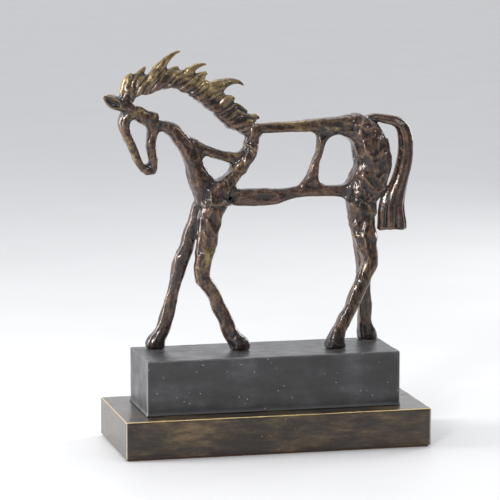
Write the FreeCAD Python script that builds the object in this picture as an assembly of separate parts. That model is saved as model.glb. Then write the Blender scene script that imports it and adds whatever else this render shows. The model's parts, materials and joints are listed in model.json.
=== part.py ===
# An openwork horse, cast in bronze as separate bars and limbs that are welded together, standing on a hollow
# two-tier plinth. Millimetres, +Z up, head towards -X. The origin is the centre of the base's underside.
import FreeCAD
import Part
import math
import os

Vector = FreeCAD.Vector

# ---- driving dimensions ----
LOWER_LENGTH, LOWER_DEPTH = 340.0, 146.0
UPPER_LENGTH, UPPER_DEPTH = 283.0, 94.0
CORK_THICKNESS = 2.0
CORK_INSET = 3.0
LOWER_TOP = 43.0            # height of the lower tier's top above the table
UPPER_TOP = 103.0           # height of the upper tier's top, where the hooves stand
WALL = 5.0                  # side walls of both hollow tiers
UPPER_DECK = 8.0            # thickness of the upper tier's top
LOWER_DECK = 6.0            # thickness of the lower tier's top
EDGE_ROUND = 0.8            # softened outer edges of both tiers
PANEL_THICKNESS = 3.0
PANEL_GAP = 0.5             # round the base panel, inside the lower tier's wall

HORSE_Y = 12.0              # the horse stands this far behind the plinth's centre line
SHOULDER_JOINT_Z = 262.0    # level weld face between the chest and the forelegs
HIP_JOINT_Z = 262.0         # level weld face between the haunch and the hind legs
SQUARENESS = 3.0            # superellipse power of a limb's section: 2 is an ellipse, more is squarer
SECTION_POINTS = 12

STUD_RADIUS = 2.0           # M4 studs that hold the hooves down
STUD_IN_HOOF = 12.0
STUD_TAIL = 2.5             # thread left showing below the nut
STUD_HOLE_RADIUS = 2.25
STUD_WASHER_RADIUS, STUD_WASHER_THICKNESS = 4.5, 0.8
STUD_NUT_FLATS, STUD_NUT_HEIGHT = 7.0, 3.2

TIER_SCREW_X, TIER_SCREW_Y = 95.0, 33.0     # M5 screws that join the tiers
TIER_SCREW_RADIUS, TIER_SCREW_HOLE = 2.5, 2.75
TIER_SCREW_DEPTH = 16.0                     # thread engaged in the upper tier's pillar
TIER_PILLAR_RADIUS = 6.0
TIER_HEAD_RADIUS, TIER_HEAD_HEIGHT = 4.7, 3.0
TIER_WASHER_RADIUS, TIER_WASHER_THICKNESS = 6.0, 1.0

PANEL_SCREW_X, PANEL_SCREW_Y = 157.0, 60.0  # M3 countersunk screws that hold the base panel
PANEL_SCREW_RADIUS, PANEL_HEAD_RADIUS, PANEL_HEAD_HEIGHT = 1.5, 2.9, 1.6
PANEL_SCREW_LENGTH = 14.0
PANEL_PILLAR_RADIUS = 5.5

# Sole centres as (x, y from the horse's plane).
SOLES = {
    "near_foreleg": (-26.3, -10.0),
    "far_foreleg": (-116.3, 20.0),
    "near_hind_leg": (77.6, -24.0),
    "far_hind_leg": (127.3, 24.0),
}

DOWN = Vector(0, 0, -1)


# ---- limbs ----
def section(centre, along, width, thickness, power=SQUARENESS, lobes=0, groove=0.0):
    """Closed curve round a limb: width lies in the horse's plane and thickness across it."""
    along = Vector(along).normalize()
    across = Vector(0, 1, 0)
    across = (across - along * across.dot(along)).normalize()
    wide = across.cross(along)
    count = SECTION_POINTS if lobes == 0 else 4 * lobes
    points = []
    for k in range(count):
        angle = 2 * math.pi * k / count
        c, s = math.cos(angle), math.sin(angle)
        reach = (abs(c) ** power + abs(s) ** power) ** (-1 / power) / 2
        if lobes:
            reach *= 1 - groove * (0.5 + 0.5 * math.cos(lobes * angle))
        points.append(centre + wide * (c * reach * width) + across * (s * reach * thickness))
    curve = Part.BSplineCurve()
    curve.interpolate(Points=points, PeriodicFlag=True)
    return Part.Wire([curve.toShape()])


def limb(stations, first_along=None, last_along=None, **shape):
    """Solid through stations (x, z, width, y from the horse's plane, thickness)."""
    centres = [Vector(x, HORSE_Y + y, z) for x, z, _, y, _ in stations]
    last = len(stations) - 1
    wires = []
    for i, (_, _, width, _, thickness) in enumerate(stations):
        along = centres[min(i + 1, last)] - centres[max(i - 1, 0)]
        if i == 0 and first_along:
            along = first_along
        if i == last and last_along:
            along = last_along
        wires.append(section(centres[i], along, width, thickness, **shape))
    return Part.makeLoft(wires, True).Solids[0]


def joined(*solids):
    """One solid from overlapping ones."""
    whole = solids[0].fuse(list(solids[1:])).removeSplitter()
    return max(whole.Solids, key=lambda s: s.Volume)


def coped(limb_solid, *neighbours):
    """The limb with its ends cut to fit the surfaces of the pieces it is welded to."""
    rest = limb_solid
    for n in neighbours:
        rest = rest.cut(n)
    return max(rest.Solids, key=lambda s: s.Volume)


def head():
    """The face, a closed loop of one bar: nose, chin and jaw."""
    nose_and_forehead = limb([
        (-123.3, 300.8, 9, 0, 12),
        (-130.6, 303.2, 9.6, 0, 13),
        (-137.5, 311, 10, 0, 13.5),
        (-142.5, 323, 10, 0, 14),
        (-148, 336, 10.5, 0, 15),
        (-152.5, 348, 12, 0, 16),
        (-152.5, 358, 13.5, 0, 17),
        (-145.5, 364.6, 15, 0, 18),
        (-136.5, 364, 16.5, 0, 18),
        (-128, 359.3, 18, 0, 17),
        (-122, 350, 14, 0, 15.5),
    ])
    jaw = limb([
        (-124, 358, 13, 0, 14.5),
        (-121.7, 349, 14.5, 0, 15.5),
        (-122.5, 339, 11, 0, 15),
        (-124, 329, 11, 0, 14.5),
        (-123, 319, 10, 0, 14),
        (-121.2, 311, 9.8, 0, 14),
        (-122, 304.4, 10.5, 0, 13),
        (-125.5, 299.5, 9, 0, 11.5),
    ])
    return joined(nose_and_forehead, jaw)


def crest():
    """The arched top line of the neck, from the poll to the withers."""
    return limb([
        (-146, 366, 13, 0, 15),
        (-149.5, 374, 16, 0, 17),
        (-150, 382, 18, 0, 17),
        (-143, 388.5, 16, 0, 16),
        (-131, 391, 14, 0, 14),
        (-118, 394.5, 14, 0, 14),
        (-106, 398, 14, 0, 14),
        (-93, 395, 14, 0, 14),
        (-79, 388.5, 14, 0, 14),
        (-66, 380, 14, 0, 14),
        (-55, 371, 14, 0, 14),
        (-44, 360.5, 14, 0, 15),
        (-33, 351.5, 14, 0, 15),
        (-22, 347.5, 14, 0, 15),
        (-10, 346, 13, 0, 14),
    ])


def throat():
    """The front of the neck, from the jaw to the breast."""
    return limb([
        (-120, 352, 10, 0, 11),
        (-111, 350.5, 12, 0, 13),
        (-103, 347.5, 14.5, 0, 15),
        (-95, 341, 17, 0, 17),
        (-88, 332, 18.5, 0, 18),
        (-80.5, 321, 21, 0, 19),
        (-76.3, 309, 19.8, 0, 20),
        (-72, 297, 24, 0, 22),
        (-67.2, 286, 26.8, 0, 23),
        (-65.2, 275.5, 23, 0, 22),
        (-60.5, 266, 19, 0, 18),
    ])


def neck_brace():
    """The bar from the front of the neck back to the shoulder."""
    return limb([
        (-93, 341, 8, 0, 10),
        (-85, 334.5, 11, 0, 11.5),
        (-76, 329.3, 12.3, 0, 13),
        (-63, 322.8, 11.8, 0, 13),
        (-50, 318, 11.6, 0, 13),
        (-38, 314.8, 13.4, 0, 14),
        (-27, 312.3, 15.4, 0, 15),
        (-17, 312, 13, 0, 14),
    ])


def shoulder():
    """The withers, the shoulder bar and the chest, down to the foreleg welds."""
    return limb([
        (-9.5, 351, 13, 0, 14),
        (-10.5, 343, 17, 0, 17),
        (-11.5, 334, 15.5, 0, 18),
        (-13, 324, 15.5, 0, 18),
        (-17.5, 313, 16.5, 0, 19),
        (-25.3, 303, 15.3, 0, 20),
        (-33.1, 293, 15.2, 0, 22),
        (-43.4, 282.5, 20.4, 0, 26),
        (-52, 274, 29, 0, 30),
        (-55, SHOULDER_JOINT_Z, 30, 0, 31),
    ], last_along=DOWN)


def back_bar():
    """The top line of the body, from the withers to the croup."""
    return limb([
        (-12, 345, 11, 0, 12),
        (-2, 345, 11.5, 0, 13),
        (12, 345.3, 11, 0, 13),
        (30, 345.6, 12.5, 0, 13),
        (48, 346.2, 14, 0, 14),
        (64, 347, 15.5, 0, 16),
        (78, 346.5, 18, 0, 18),
        (90, 346, 23, 0, 22),
        (99, 344.5, 28, 0, 25),
        (108, 342, 32, 0, 27),
    ])


def belly_bar():
    """The under line of the body, from the chest to the haunch."""
    return limb([
        (-48, 270.5, 17, 0, 13),
        (-35, 270.3, 18.5, 0, 14),
        (-10, 269.4, 20, 0, 14),
        (8, 269.6, 18.8, 0, 14),
        (24, 271, 15.5, 0, 13.5),
        (40, 273.6, 13.5, 0, 13),
        (60, 274.4, 13, 0, 13),
        (80, 273.8, 13.2, 0, 14),
        (95, 273.5, 16, 0, 17),
        (108, 273.5, 18, 0, 20),
    ])


def flank_bar():
    """The rib between the back and the belly bars."""
    return limb([
        (74.5, 347, 33, 0, 12),
        (70.2, 337, 17.5, 0, 12),
        (66.2, 327, 11, 0, 12),
        (64.3, 318, 9.3, 0, 11.5),
        (61.8, 311, 9.5, 0, 11.5),
        (58.6, 300, 10.8, 0, 12),
        (56.5, 290, 15.5, 0, 12),
        (55.5, 282.5, 25, 0, 12),
        (57, 274, 35, 0, 11),
    ])


def haunch():
    """The croup and the thigh, down to the hind leg welds."""
    return limb([
        (96, 349, 18, 0, 21),
        (107.5, 345, 28, 0, 28),
        (116.5, 335.5, 34, 0, 32),
        (121.8, 323, 39.3, 0, 33),
        (124.5, 309, 41, 0, 33),
        (123.5, 296, 41, 0, 33),
        (119.4, 284, 41, 0, 33),
        (115.2, 273, 37.5, 0, 32),
        (111.5, HIP_JOINT_Z, 33, 0, 32),
    ], last_along=DOWN, power=3.4)


def near_foreleg():
    """The foreleg on the near side, bent at the knee, with the hoof trailing."""
    return limb([
        (-55.5, SHOULDER_JOINT_Z, 28.5, -7.5, 15.5),
        (-58.7, 249, 25.2, -7.5, 18),
        (-61.1, 237, 23.3, -7.5, 18.5),
        (-63.4, 224, 22.7, -8, 18),
        (-65.7, 211, 21.5, -8, 17),
        (-68, 199, 18.5, -8.5, 16),
        (-69.4, 189, 17.8, -8.5, 16),
        (-67.3, 181.5, 16.9, -9, 16),
        (-62.7, 174.5, 15.6, -9, 15),
        (-56.3, 164.5, 15.2, -9, 13.5),
        (-50.3, 150, 16.5, -9.5, 13),
        (-44, 137, 16.5, -9.5, 13.5),
        (-40.6, 127, 16, -10, 14),
        (-36.9, 119.5, 16.3, -10, 15),
        (-31.3, 113, 19.6, -10, 17.5),
        (-28, 108.6, 22.2, -10, 18),
        (SOLES["near_foreleg"][0], UPPER_TOP, 17.5, SOLES["near_foreleg"][1], 15.5),
    ], first_along=DOWN, last_along=DOWN)


def far_foreleg():
    """The foreleg on the far side, reaching forward."""
    return limb([
        (-61, 272, 17, 7, 13),
        (-66, SHOULDER_JOINT_Z, 19, 8, 14),
        (-70.8, 250.5, 17, 9, 15),
        (-74.5, 240, 15.5, 10, 15),
        (-78.8, 228, 14.8, 10.5, 15),
        (-82.2, 215, 15, 11.5, 15.5),
        (-87.2, 203, 17.3, 12.5, 16.5),
        (-91, 190, 16.3, 13.5, 16),
        (-94.1, 176, 13, 14.5, 13),
        (-97.7, 161.6, 14.2, 15.5, 12.5),
        (-100.7, 147.5, 15.3, 16.5, 13),
        (-104, 135.2, 15.9, 17.5, 14),
        (-108.7, 122.5, 15.8, 18.5, 14.5),
        (-112.7, 115, 17.4, 19.2, 16.5),
        (-115.2, 108.6, 21.2, 19.7, 17.5),
        (SOLES["far_foreleg"][0], UPPER_TOP, 18.5, SOLES["far_foreleg"][1], 15.5),
    ], first_along=DOWN, last_along=DOWN)


def near_hind_leg():
    """The hind leg on the near side, stepping forward."""
    return limb([
        (111.5, HIP_JOINT_Z, 33, -8, 16),
        (110.5, 246, 29.5, -9.5, 17.5),
        (112, 231, 27, -11, 18.5),
        (115.2, 216, 23, -13, 18),
        (118, 204, 20, -14.5, 17),
        (117.8, 193, 19, -16, 16.5),
        (112.8, 183, 17, -17, 15.5),
        (107.7, 173, 15.8, -18, 14),
        (102.2, 161, 15.6, -19, 13),
        (96.5, 149, 14.8, -20, 13),
        (90, 137.3, 14.8, -21, 13),
        (83.8, 126.5, 15.2, -22, 14),
        (79.9, 118.5, 16.3, -23, 15.5),
        (78, 111.2, 20.8, -23.8, 17.5),
        (77.3, 107, 23.4, -24, 18),
        (SOLES["near_hind_leg"][0], UPPER_TOP, 21.5, SOLES["near_hind_leg"][1], 16),
    ], first_along=DOWN, last_along=DOWN)


def far_hind_leg():
    """The hind leg on the far side, nearly upright."""
    return limb([
        (111.5, HIP_JOINT_Z, 31, 8, 16),
        (113.6, 246, 27, 10, 17),
        (116, 230, 24, 12, 17),
        (118, 215, 21.8, 14, 17),
        (119.6, 201, 19.6, 16, 16.5),
        (121, 186, 18, 17.5, 16),
        (121.3, 168, 16.4, 19, 14),
        (122, 151, 16, 20.5, 13),
        (123, 135, 16.4, 22, 13.5),
        (123.6, 121, 17.2, 23, 14.5),
        (125, 114.5, 20, 23.7, 16.5),
        (126.6, 108.7, 22.5, 24, 17.5),
        (SOLES["far_hind_leg"][0], UPPER_TOP, 20.5, SOLES["far_hind_leg"][1], 16),
    ], first_along=DOWN, last_along=DOWN)


def tail():
    """The tail, a grooved bundle that arches off the croup and hangs down to a blunt, spread end."""
    return limb([
        (112, 350, 9, 0, 11),
        (120, 353, 9, 0, 12),
        (128, 354, 8.5, 0, 12),
        (137, 352.2, 11, 0, 13),
        (147.5, 350.3, 12.5, 0, 14),
        (156.8, 344.8, 14.5, 0, 15),
        (161.6, 334.5, 16.5, 0, 16),
        (163, 321, 18, 0, 17),
        (162, 307, 19, 0, 17),
        (159.3, 294, 19.5, 0, 17),
        (156, 282, 20.5, 0, 17.5),
        (151.5, 270, 25, 0, 18),
        (147.8, 258, 29.5, 0, 19),
        (147.2, 245, 32.5, 0, 20),
        (147.6, 229, 34, 0, 20),
    ], last_along=DOWN, power=2.2, lobes=7, groove=0.13)


def mane_ridge():
    """The ridge that stands along the crest and carries the locks."""
    return limb([
        (-153.2, 385, 12.5, 0, 13),
        (-148.7, 393, 15.4, 0, 13),
        (-139.3, 398.6, 17, 0, 13),
        (-126, 399.5, 14, 0, 12),
        (-113, 404.5, 15, 0, 12),
        (-100, 404, 16, 0, 12),
        (-88, 401, 17, 0, 12),
        (-76, 396.5, 18, 0, 12),
        (-64, 389, 20, 0, 12),
        (-53, 380, 21, 0, 13),
        (-43, 371, 20, 0, 13),
        (-33, 362, 17, 0, 13),
        (-23, 356, 13, 0, 13),
        (-14, 353, 9, 0, 11),
    ])


# Flame-shaped locks from the forelock to the withers, each from its root in the ridge to its tip.
LOCKS = [
    [(-147.5, 395, 13.5, 0, 12), (-146.8, 402.5, 9.5, -1, 11), (-145.3, 408.5, 3.5, -1, 5)],
    [(-142, 397, 15.5, 1, 11), (-137, 405, 10.5, 1, 10), (-132, 411, 5.5, 1, 7), (-129.4, 414.7, 2, 1, 3)],
    [(-125.5, 398, 14, 0, 11), (-117.5, 410, 11, -1, 11), (-109.6, 418.8, 9, -1, 9),
     (-102, 425.5, 6.4, -1, 7), (-96, 429.2, 4.2, 0, 5), (-91, 430, 2, 0, 3)],
    [(-105, 403, 14, 2, 11), (-99, 409.5, 9.5, 3, 9), (-92, 412.5, 4, 3, 5)],
    [(-92, 399.5, 15.5, 0, 11), (-83.5, 407, 11.4, -1, 10), (-75.7, 412.8, 7.4, -2, 8),
     (-69, 415.8, 4.4, -2, 5), (-63, 416, 2, -2, 3)],
    [(-74, 396, 15, 1, 11), (-66.3, 403.8, 9.2, 2, 9), (-60.8, 407.2, 4.2, 2, 5)],
    [(-60, 384, 24, 0, 12), (-50.5, 391.2, 17, -1, 12), (-41.5, 395.2, 10.5, -1, 9), (-33, 396.5, 6.8, 0, 7),
     (-25.5, 395.3, 4.5, 0, 5), (-20.3, 391.8, 2, 0, 3)],
    [(-46, 371, 16, -1, 12), (-38, 377.5, 10, -2, 10), (-31, 379, 3.5, -2, 5)],
    [(-38, 364, 14, 0, 12), (-28.5, 369.5, 9, 1, 10), (-21.5, 367, 5.5, 1, 7), (-16.8, 363.5, 2, 1, 3)],
    [(-27, 355, 12, 0, 12.5), (-16.6, 356.6, 9.4, -1, 10.5), (-8.4, 357.2, 6.6, -1, 7.5),
     (-2.8, 356.6, 2.4, -1, 3)],
]


def mane_locks(ridge, *neighbours):
    """The locks as separate pieces, each cut to fit the ridge and the lock in front of it."""
    locks = []
    for stations in LOCKS:
        lock = coped(limb(stations), ridge, *neighbours, *locks[-1:])
        locks.append(lock)
    return Part.makeCompound(locks)


def near_ear():
    """The ear on the near side: a pricked leaf, scooped out on its outer face."""
    leaf = limb([
        (-152, 370, 9, -4, 9),
        (-159.8, 373.7, 11.7, -6, 10),
        (-167, 377.2, 12.7, -8, 9),
        (-173, 381, 8.8, -9, 6),
        (-177, 384.6, 2.6, -9, 3),
    ], power=2)
    scoop = limb([
        (-158.7, 373.3, 3, -11.5, 3),
        (-162.7, 375.3, 7, -11.5, 7),
        (-167.5, 377.5, 8.2, -12.5, 7),
        (-172, 380.5, 5.2, -12, 5),
        (-174.5, 382.8, 2, -12, 3),
    ], power=2)
    return coped(leaf, scoop)


def far_ear():
    """The ear on the far side, laid back against the mane."""
    return limb([
        (-152, 370, 9, 3, 9),
        (-157.5, 374.5, 12, 5.5, 10),
        (-163, 378, 12, 8, 9),
        (-167.5, 381, 9, 9.5, 6),
        (-170.5, 383.2, 3, 10, 3),
    ], power=2)


# ---- fasteners ----
def rod(x, y, bottom, top, radius):
    return Part.makeCylinder(radius, top - bottom, Vector(x, y, bottom))


def hexagon(x, y, bottom, flats, height, bore):
    corner = flats / math.sqrt(3)
    points = [Vector(x + corner * math.cos(math.radians(60 * k)), y + corner * math.sin(math.radians(60 * k)),
                     bottom) for k in range(7)]
    blank = Part.Face(Part.makePolygon(points)).extrude(Vector(0, 0, height))
    return blank.cut(rod(x, y, bottom, bottom + height, bore))


def ring(x, y, bottom, outer, height, bore):
    return rod(x, y, bottom, bottom + height, outer).cut(rod(x, y, bottom, bottom + height, bore))


def sole_points():
    return [(x, HORSE_Y + y) for x, y in SOLES.values()]


def corners(x, y):
    return [(sx * x, sy * y) for sx in (-1, 1) for sy in (-1, 1)]


DECK_UNDERSIDE = UPPER_TOP - UPPER_DECK
STUD_NUT_BOTTOM = DECK_UNDERSIDE - STUD_WASHER_THICKNESS - STUD_NUT_HEIGHT
LOWER_DECK_UNDERSIDE = LOWER_TOP - LOWER_DECK
PANEL_TOP = CORK_THICKNESS + PANEL_THICKNESS


def hoof_studs():
    return Part.makeCompound([rod(x, y, STUD_NUT_BOTTOM - STUD_TAIL, UPPER_TOP + STUD_IN_HOOF, STUD_RADIUS)
                              for x, y in sole_points()])


def stud_washers():
    return Part.makeCompound([ring(x, y, DECK_UNDERSIDE - STUD_WASHER_THICKNESS, STUD_WASHER_RADIUS,
                                   STUD_WASHER_THICKNESS, STUD_HOLE_RADIUS) for x, y in sole_points()])


def stud_nuts():
    return Part.makeCompound([hexagon(x, y, STUD_NUT_BOTTOM, STUD_NUT_FLATS, STUD_NUT_HEIGHT, STUD_RADIUS)
                              for x, y in sole_points()])


def tier_screws():
    """Pan-head screws, put in from below, with a hex socket in each head."""
    head_top = LOWER_DECK_UNDERSIDE - TIER_WASHER_THICKNESS
    screws = []
    for x, y in corners(TIER_SCREW_X, TIER_SCREW_Y):
        shank = rod(x, y, head_top, LOWER_TOP + TIER_SCREW_DEPTH, TIER_SCREW_RADIUS)
        pan = rod(x, y, head_top - TIER_HEAD_HEIGHT, head_top, TIER_HEAD_RADIUS)
        pan = pan.makeFillet(1.0, [pan.Edges[2]])
        socket = hexagon(x, y, head_top - TIER_HEAD_HEIGHT, 3.0, 1.8, 0.01)
        screws.append(shank.fuse(pan).cut(socket).removeSplitter())
    return Part.makeCompound(screws)


def tier_washers():
    return Part.makeCompound([ring(x, y, LOWER_DECK_UNDERSIDE - TIER_WASHER_THICKNESS, TIER_WASHER_RADIUS,
                                   TIER_WASHER_THICKNESS, TIER_SCREW_HOLE)
                              for x, y in corners(TIER_SCREW_X, TIER_SCREW_Y)])


def panel_screw(x, y):
    """Countersunk screw with a cross slot, flush with the panel's underside."""
    bottom = CORK_THICKNESS
    head_cone = Part.makeCone(PANEL_HEAD_RADIUS, PANEL_SCREW_RADIUS, PANEL_HEAD_HEIGHT, Vector(x, y, bottom))
    shank = rod(x, y, bottom + PANEL_HEAD_HEIGHT, bottom + PANEL_SCREW_LENGTH, PANEL_SCREW_RADIUS)
    screw = head_cone.fuse(shank).removeSplitter()
    slot = Part.makeBox(3.2, 0.7, 0.9, Vector(x - 1.6, y - 0.35, bottom))
    cross_slot = Part.makeBox(0.7, 3.2, 0.9, Vector(x - 0.35, y - 1.6, bottom))
    return screw.cut(slot).cut(cross_slot)


def panel_screws():
    return Part.makeCompound([panel_screw(x, y) for x, y in corners(PANEL_SCREW_X, PANEL_SCREW_Y)])


# ---- plinth ----
def block(length, depth, bottom, top):
    return Part.makeBox(length, depth, top - bottom, Vector(-length / 2, -depth / 2, bottom))


def softened(solid, top):
    """Rounds the upright edges and the edges round the top."""
    edges = [e for e in solid.Edges if len({round(v.Z, 3) for v in e.Vertexes}) == 2
             or all(abs(v.Z - top) < 1e-6 for v in e.Vertexes)]
    return solid.makeFillet(EDGE_ROUND, edges)


def upper_tier():
    """A hollow block, open below, with a pillar for each screw from the lower tier."""
    solid = softened(block(UPPER_LENGTH, UPPER_DEPTH, LOWER_TOP, UPPER_TOP), UPPER_TOP)
    hollow = block(UPPER_LENGTH - 2 * WALL, UPPER_DEPTH - 2 * WALL, LOWER_TOP, DECK_UNDERSIDE)
    solid = solid.cut(hollow)
    for x, y in corners(TIER_SCREW_X, TIER_SCREW_Y):
        solid = solid.fuse(rod(x, y, LOWER_TOP, DECK_UNDERSIDE, TIER_PILLAR_RADIUS))
    for x, y in corners(TIER_SCREW_X, TIER_SCREW_Y):
        solid = solid.cut(rod(x, y, LOWER_TOP, LOWER_TOP + TIER_SCREW_DEPTH, TIER_SCREW_RADIUS))
    for x, y in sole_points():
        solid = solid.cut(rod(x, y, DECK_UNDERSIDE, UPPER_TOP, STUD_HOLE_RADIUS))
    return solid.removeSplitter()


def lower_tier():
    """A hollow tray, open below, with a pillar in each corner for the base panel."""
    solid = softened(block(LOWER_LENGTH, LOWER_DEPTH, CORK_THICKNESS, LOWER_TOP), LOWER_TOP)
    hollow = block(LOWER_LENGTH - 2 * WALL, LOWER_DEPTH - 2 * WALL, CORK_THICKNESS, LOWER_DECK_UNDERSIDE)
    solid = solid.cut(hollow)
    for x, y in corners(PANEL_SCREW_X, PANEL_SCREW_Y):
        solid = solid.fuse(rod(x, y, PANEL_TOP, LOWER_DECK_UNDERSIDE, PANEL_PILLAR_RADIUS))
    for x, y in corners(PANEL_SCREW_X, PANEL_SCREW_Y):
        solid = solid.cut(rod(x, y, PANEL_TOP, CORK_THICKNESS + PANEL_SCREW_LENGTH, PANEL_SCREW_RADIUS))
    for x, y in corners(TIER_SCREW_X, TIER_SCREW_Y):
        solid = solid.cut(rod(x, y, LOWER_DECK_UNDERSIDE, LOWER_TOP, TIER_SCREW_HOLE))
    return solid.removeSplitter()


def base_panel():
    """The board that closes the lower tier, flush with its rim."""
    inset = WALL + PANEL_GAP
    solid = block(LOWER_LENGTH - 2 * inset, LOWER_DEPTH - 2 * inset, CORK_THICKNESS, PANEL_TOP)
    for x, y in corners(PANEL_SCREW_X, PANEL_SCREW_Y):
        solid = solid.cut(rod(x, y, CORK_THICKNESS, PANEL_TOP, PANEL_SCREW_RADIUS))
        solid = solid.cut(Part.makeCone(PANEL_HEAD_RADIUS, PANEL_SCREW_RADIUS, PANEL_HEAD_HEIGHT,
                                        Vector(x, y, CORK_THICKNESS)))
    return solid


def cork_sheet():
    """The cork glued under the base, a little inside its edge."""
    return block(LOWER_LENGTH - 2 * CORK_INSET, LOWER_DEPTH - 2 * CORK_INSET, 0, CORK_THICKNESS)


def with_stud_hole(leg, name):
    x, y = SOLES[name]
    return leg.cut(rod(x, HORSE_Y + y, UPPER_TOP, UPPER_TOP + STUD_IN_HOOF, STUD_RADIUS))


# ---- the assembly: each weld is where one piece is cut to another's surface ----
def build():
    pieces = {}
    pieces["head"] = head()
    pieces["haunch"] = haunch()
    pieces["shoulder"] = shoulder()
    pieces["back_bar"] = coped(back_bar(), pieces["haunch"], pieces["shoulder"])
    pieces["throat"] = coped(throat(), pieces["head"], pieces["shoulder"])
    pieces["crest"] = coped(crest(), pieces["head"], pieces["shoulder"], pieces["back_bar"])
    pieces["neck_brace"] = coped(neck_brace(), pieces["throat"], pieces["shoulder"])
    pieces["belly_bar"] = coped(belly_bar(), pieces["shoulder"], pieces["haunch"])
    pieces["flank_bar"] = coped(flank_bar(), pieces["back_bar"], pieces["belly_bar"])
    near_fore, near_hind = near_foreleg(), near_hind_leg()
    far_fore = coped(far_foreleg(), near_fore, pieces["shoulder"], pieces["throat"])
    pieces["near_foreleg"] = with_stud_hole(near_fore, "near_foreleg")
    pieces["far_foreleg"] = with_stud_hole(far_fore, "far_foreleg")
    pieces["near_hind_leg"] = with_stud_hole(near_hind, "near_hind_leg")
    pieces["far_hind_leg"] = with_stud_hole(coped(far_hind_leg(), near_hind), "far_hind_leg")
    pieces["tail"] = coped(tail(), pieces["haunch"])
    pieces["mane_ridge"] = coped(mane_ridge(), pieces["crest"], pieces["shoulder"], pieces["back_bar"])
    pieces["mane_locks"] = mane_locks(pieces["mane_ridge"], pieces["crest"])
    pieces["near_ear"] = coped(near_ear(), pieces["head"], pieces["crest"], pieces["mane_ridge"])
    pieces["far_ear"] = coped(far_ear(), pieces["head"], pieces["crest"], pieces["mane_ridge"])
    pieces["upper_tier"] = upper_tier()
    pieces["lower_tier"] = lower_tier()
    pieces["base_panel"] = base_panel()
    pieces["cork_sheet"] = cork_sheet()
    pieces["hoof_studs"] = hoof_studs()
    pieces["stud_washers"] = stud_washers()
    pieces["stud_nuts"] = stud_nuts()
    pieces["tier_screws"] = tier_screws()
    pieces["tier_washers"] = tier_washers()
    pieces["panel_screws"] = panel_screws()
    return pieces


os.makedirs("parts", exist_ok=True)
for name, shape in build().items():
    print(f"{name}: {len(shape.Solids)} solid(s), {shape.Volume / 1000:.1f} cm3, valid {shape.isValid()}")
    shape.exportStep(f"parts/{name}.step")
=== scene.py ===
# The openwork bronze horse: its looks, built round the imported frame. Metres, in the frame's own axes.
import itertools
import json
import math

import bpy
import numpy as np
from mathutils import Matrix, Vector
from mathutils.bvhtree import BVHTree


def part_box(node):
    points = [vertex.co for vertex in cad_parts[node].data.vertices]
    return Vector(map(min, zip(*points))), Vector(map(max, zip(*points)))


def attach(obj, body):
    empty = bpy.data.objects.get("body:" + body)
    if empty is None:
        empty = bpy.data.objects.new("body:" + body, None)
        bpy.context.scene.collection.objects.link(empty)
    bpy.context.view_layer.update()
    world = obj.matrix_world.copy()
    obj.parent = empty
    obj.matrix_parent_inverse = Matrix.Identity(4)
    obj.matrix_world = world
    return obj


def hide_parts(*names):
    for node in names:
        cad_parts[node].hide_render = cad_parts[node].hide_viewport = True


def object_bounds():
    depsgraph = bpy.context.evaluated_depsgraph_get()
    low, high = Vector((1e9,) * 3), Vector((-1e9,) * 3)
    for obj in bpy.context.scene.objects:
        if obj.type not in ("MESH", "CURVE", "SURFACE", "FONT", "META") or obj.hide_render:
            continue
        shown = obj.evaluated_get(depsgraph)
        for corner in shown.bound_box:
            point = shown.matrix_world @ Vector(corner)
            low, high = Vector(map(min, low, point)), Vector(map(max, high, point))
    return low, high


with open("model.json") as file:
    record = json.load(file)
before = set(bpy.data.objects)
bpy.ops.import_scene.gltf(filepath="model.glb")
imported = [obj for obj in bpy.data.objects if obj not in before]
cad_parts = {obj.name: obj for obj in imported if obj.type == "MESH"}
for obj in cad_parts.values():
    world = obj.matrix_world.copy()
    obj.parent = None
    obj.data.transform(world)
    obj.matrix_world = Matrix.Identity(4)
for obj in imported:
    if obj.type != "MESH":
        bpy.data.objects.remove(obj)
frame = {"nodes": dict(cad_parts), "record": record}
cad_low, cad_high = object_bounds()

MM = 0.001

# ---- the skin of the horse and the plinth ----
ROUGH_VOXEL = 1.0 * MM      # grain of the first skin, round the bars alone
VOXEL = 0.8 * MM            # grain of the sculpted surface
TIER_VOXEL = 1.2 * MM       # grain of the plinth's surface
TRIM_FILLET = 1.2 * MM      # fillet where the locks, tail and ears join
CLOSING_DEPTH = 1.2 * MM    # how far under the skin each bar is closed at its welds
SMALL_PATCH = 120           # fewer faces than this are given to the bar round them
LEGS = ["near_foreleg", "far_foreleg", "near_hind_leg", "far_hind_leg"]
BARS = ["head", "crest", "mane_ridge", "throat", "neck_brace", "shoulder", "back_bar", "flank_bar",
        "belly_bar", "haunch"] + LEGS
TRIMMINGS = ["mane_locks", "tail", "near_ear", "far_ear"]
HORSE = BARS + TRIMMINGS
LEVEL_BARS = ["back_bar", "belly_bar", "neck_brace"]
ROUGH_BARS = ["haunch", "shoulder", "near_foreleg", "near_hind_leg"]
MANE = ["crest", "mane_ridge", "mane_locks"]
EARS = ["near_ear", "far_ear"]
HORSE_Y = 12 * MM           # the horse's own plane
PLINTH_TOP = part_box("upper_tier")[1].z

# Fillet between the bars, and how much less it is round the face and down the legs, in millimetres.
WELD_FILLET, FACE_LESS, LEGS_LESS = 3.8, 2.4, 1.8
# Where the fillet differs: (x, z), what heights count for in the distance from there, the two distances between
# which the change fades out, and the change, in millimetres.
FILLET_PLACES = [
    (-49, 304, 1, 13, 22, -1.2),            # the window in front of the shoulder
    (82.5, 306.5, 0.75, 26, 44, 4.5),       # the flank's oval window
    (-29, 327, 1, 9, 20, 3.5),              # under the withers
    (-55, 261, 1, 9, 24, 3.2),              # the foreleg's start
    (112, 260, 1, 9, 26, 3.2),              # the hind leg's start
]

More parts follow.
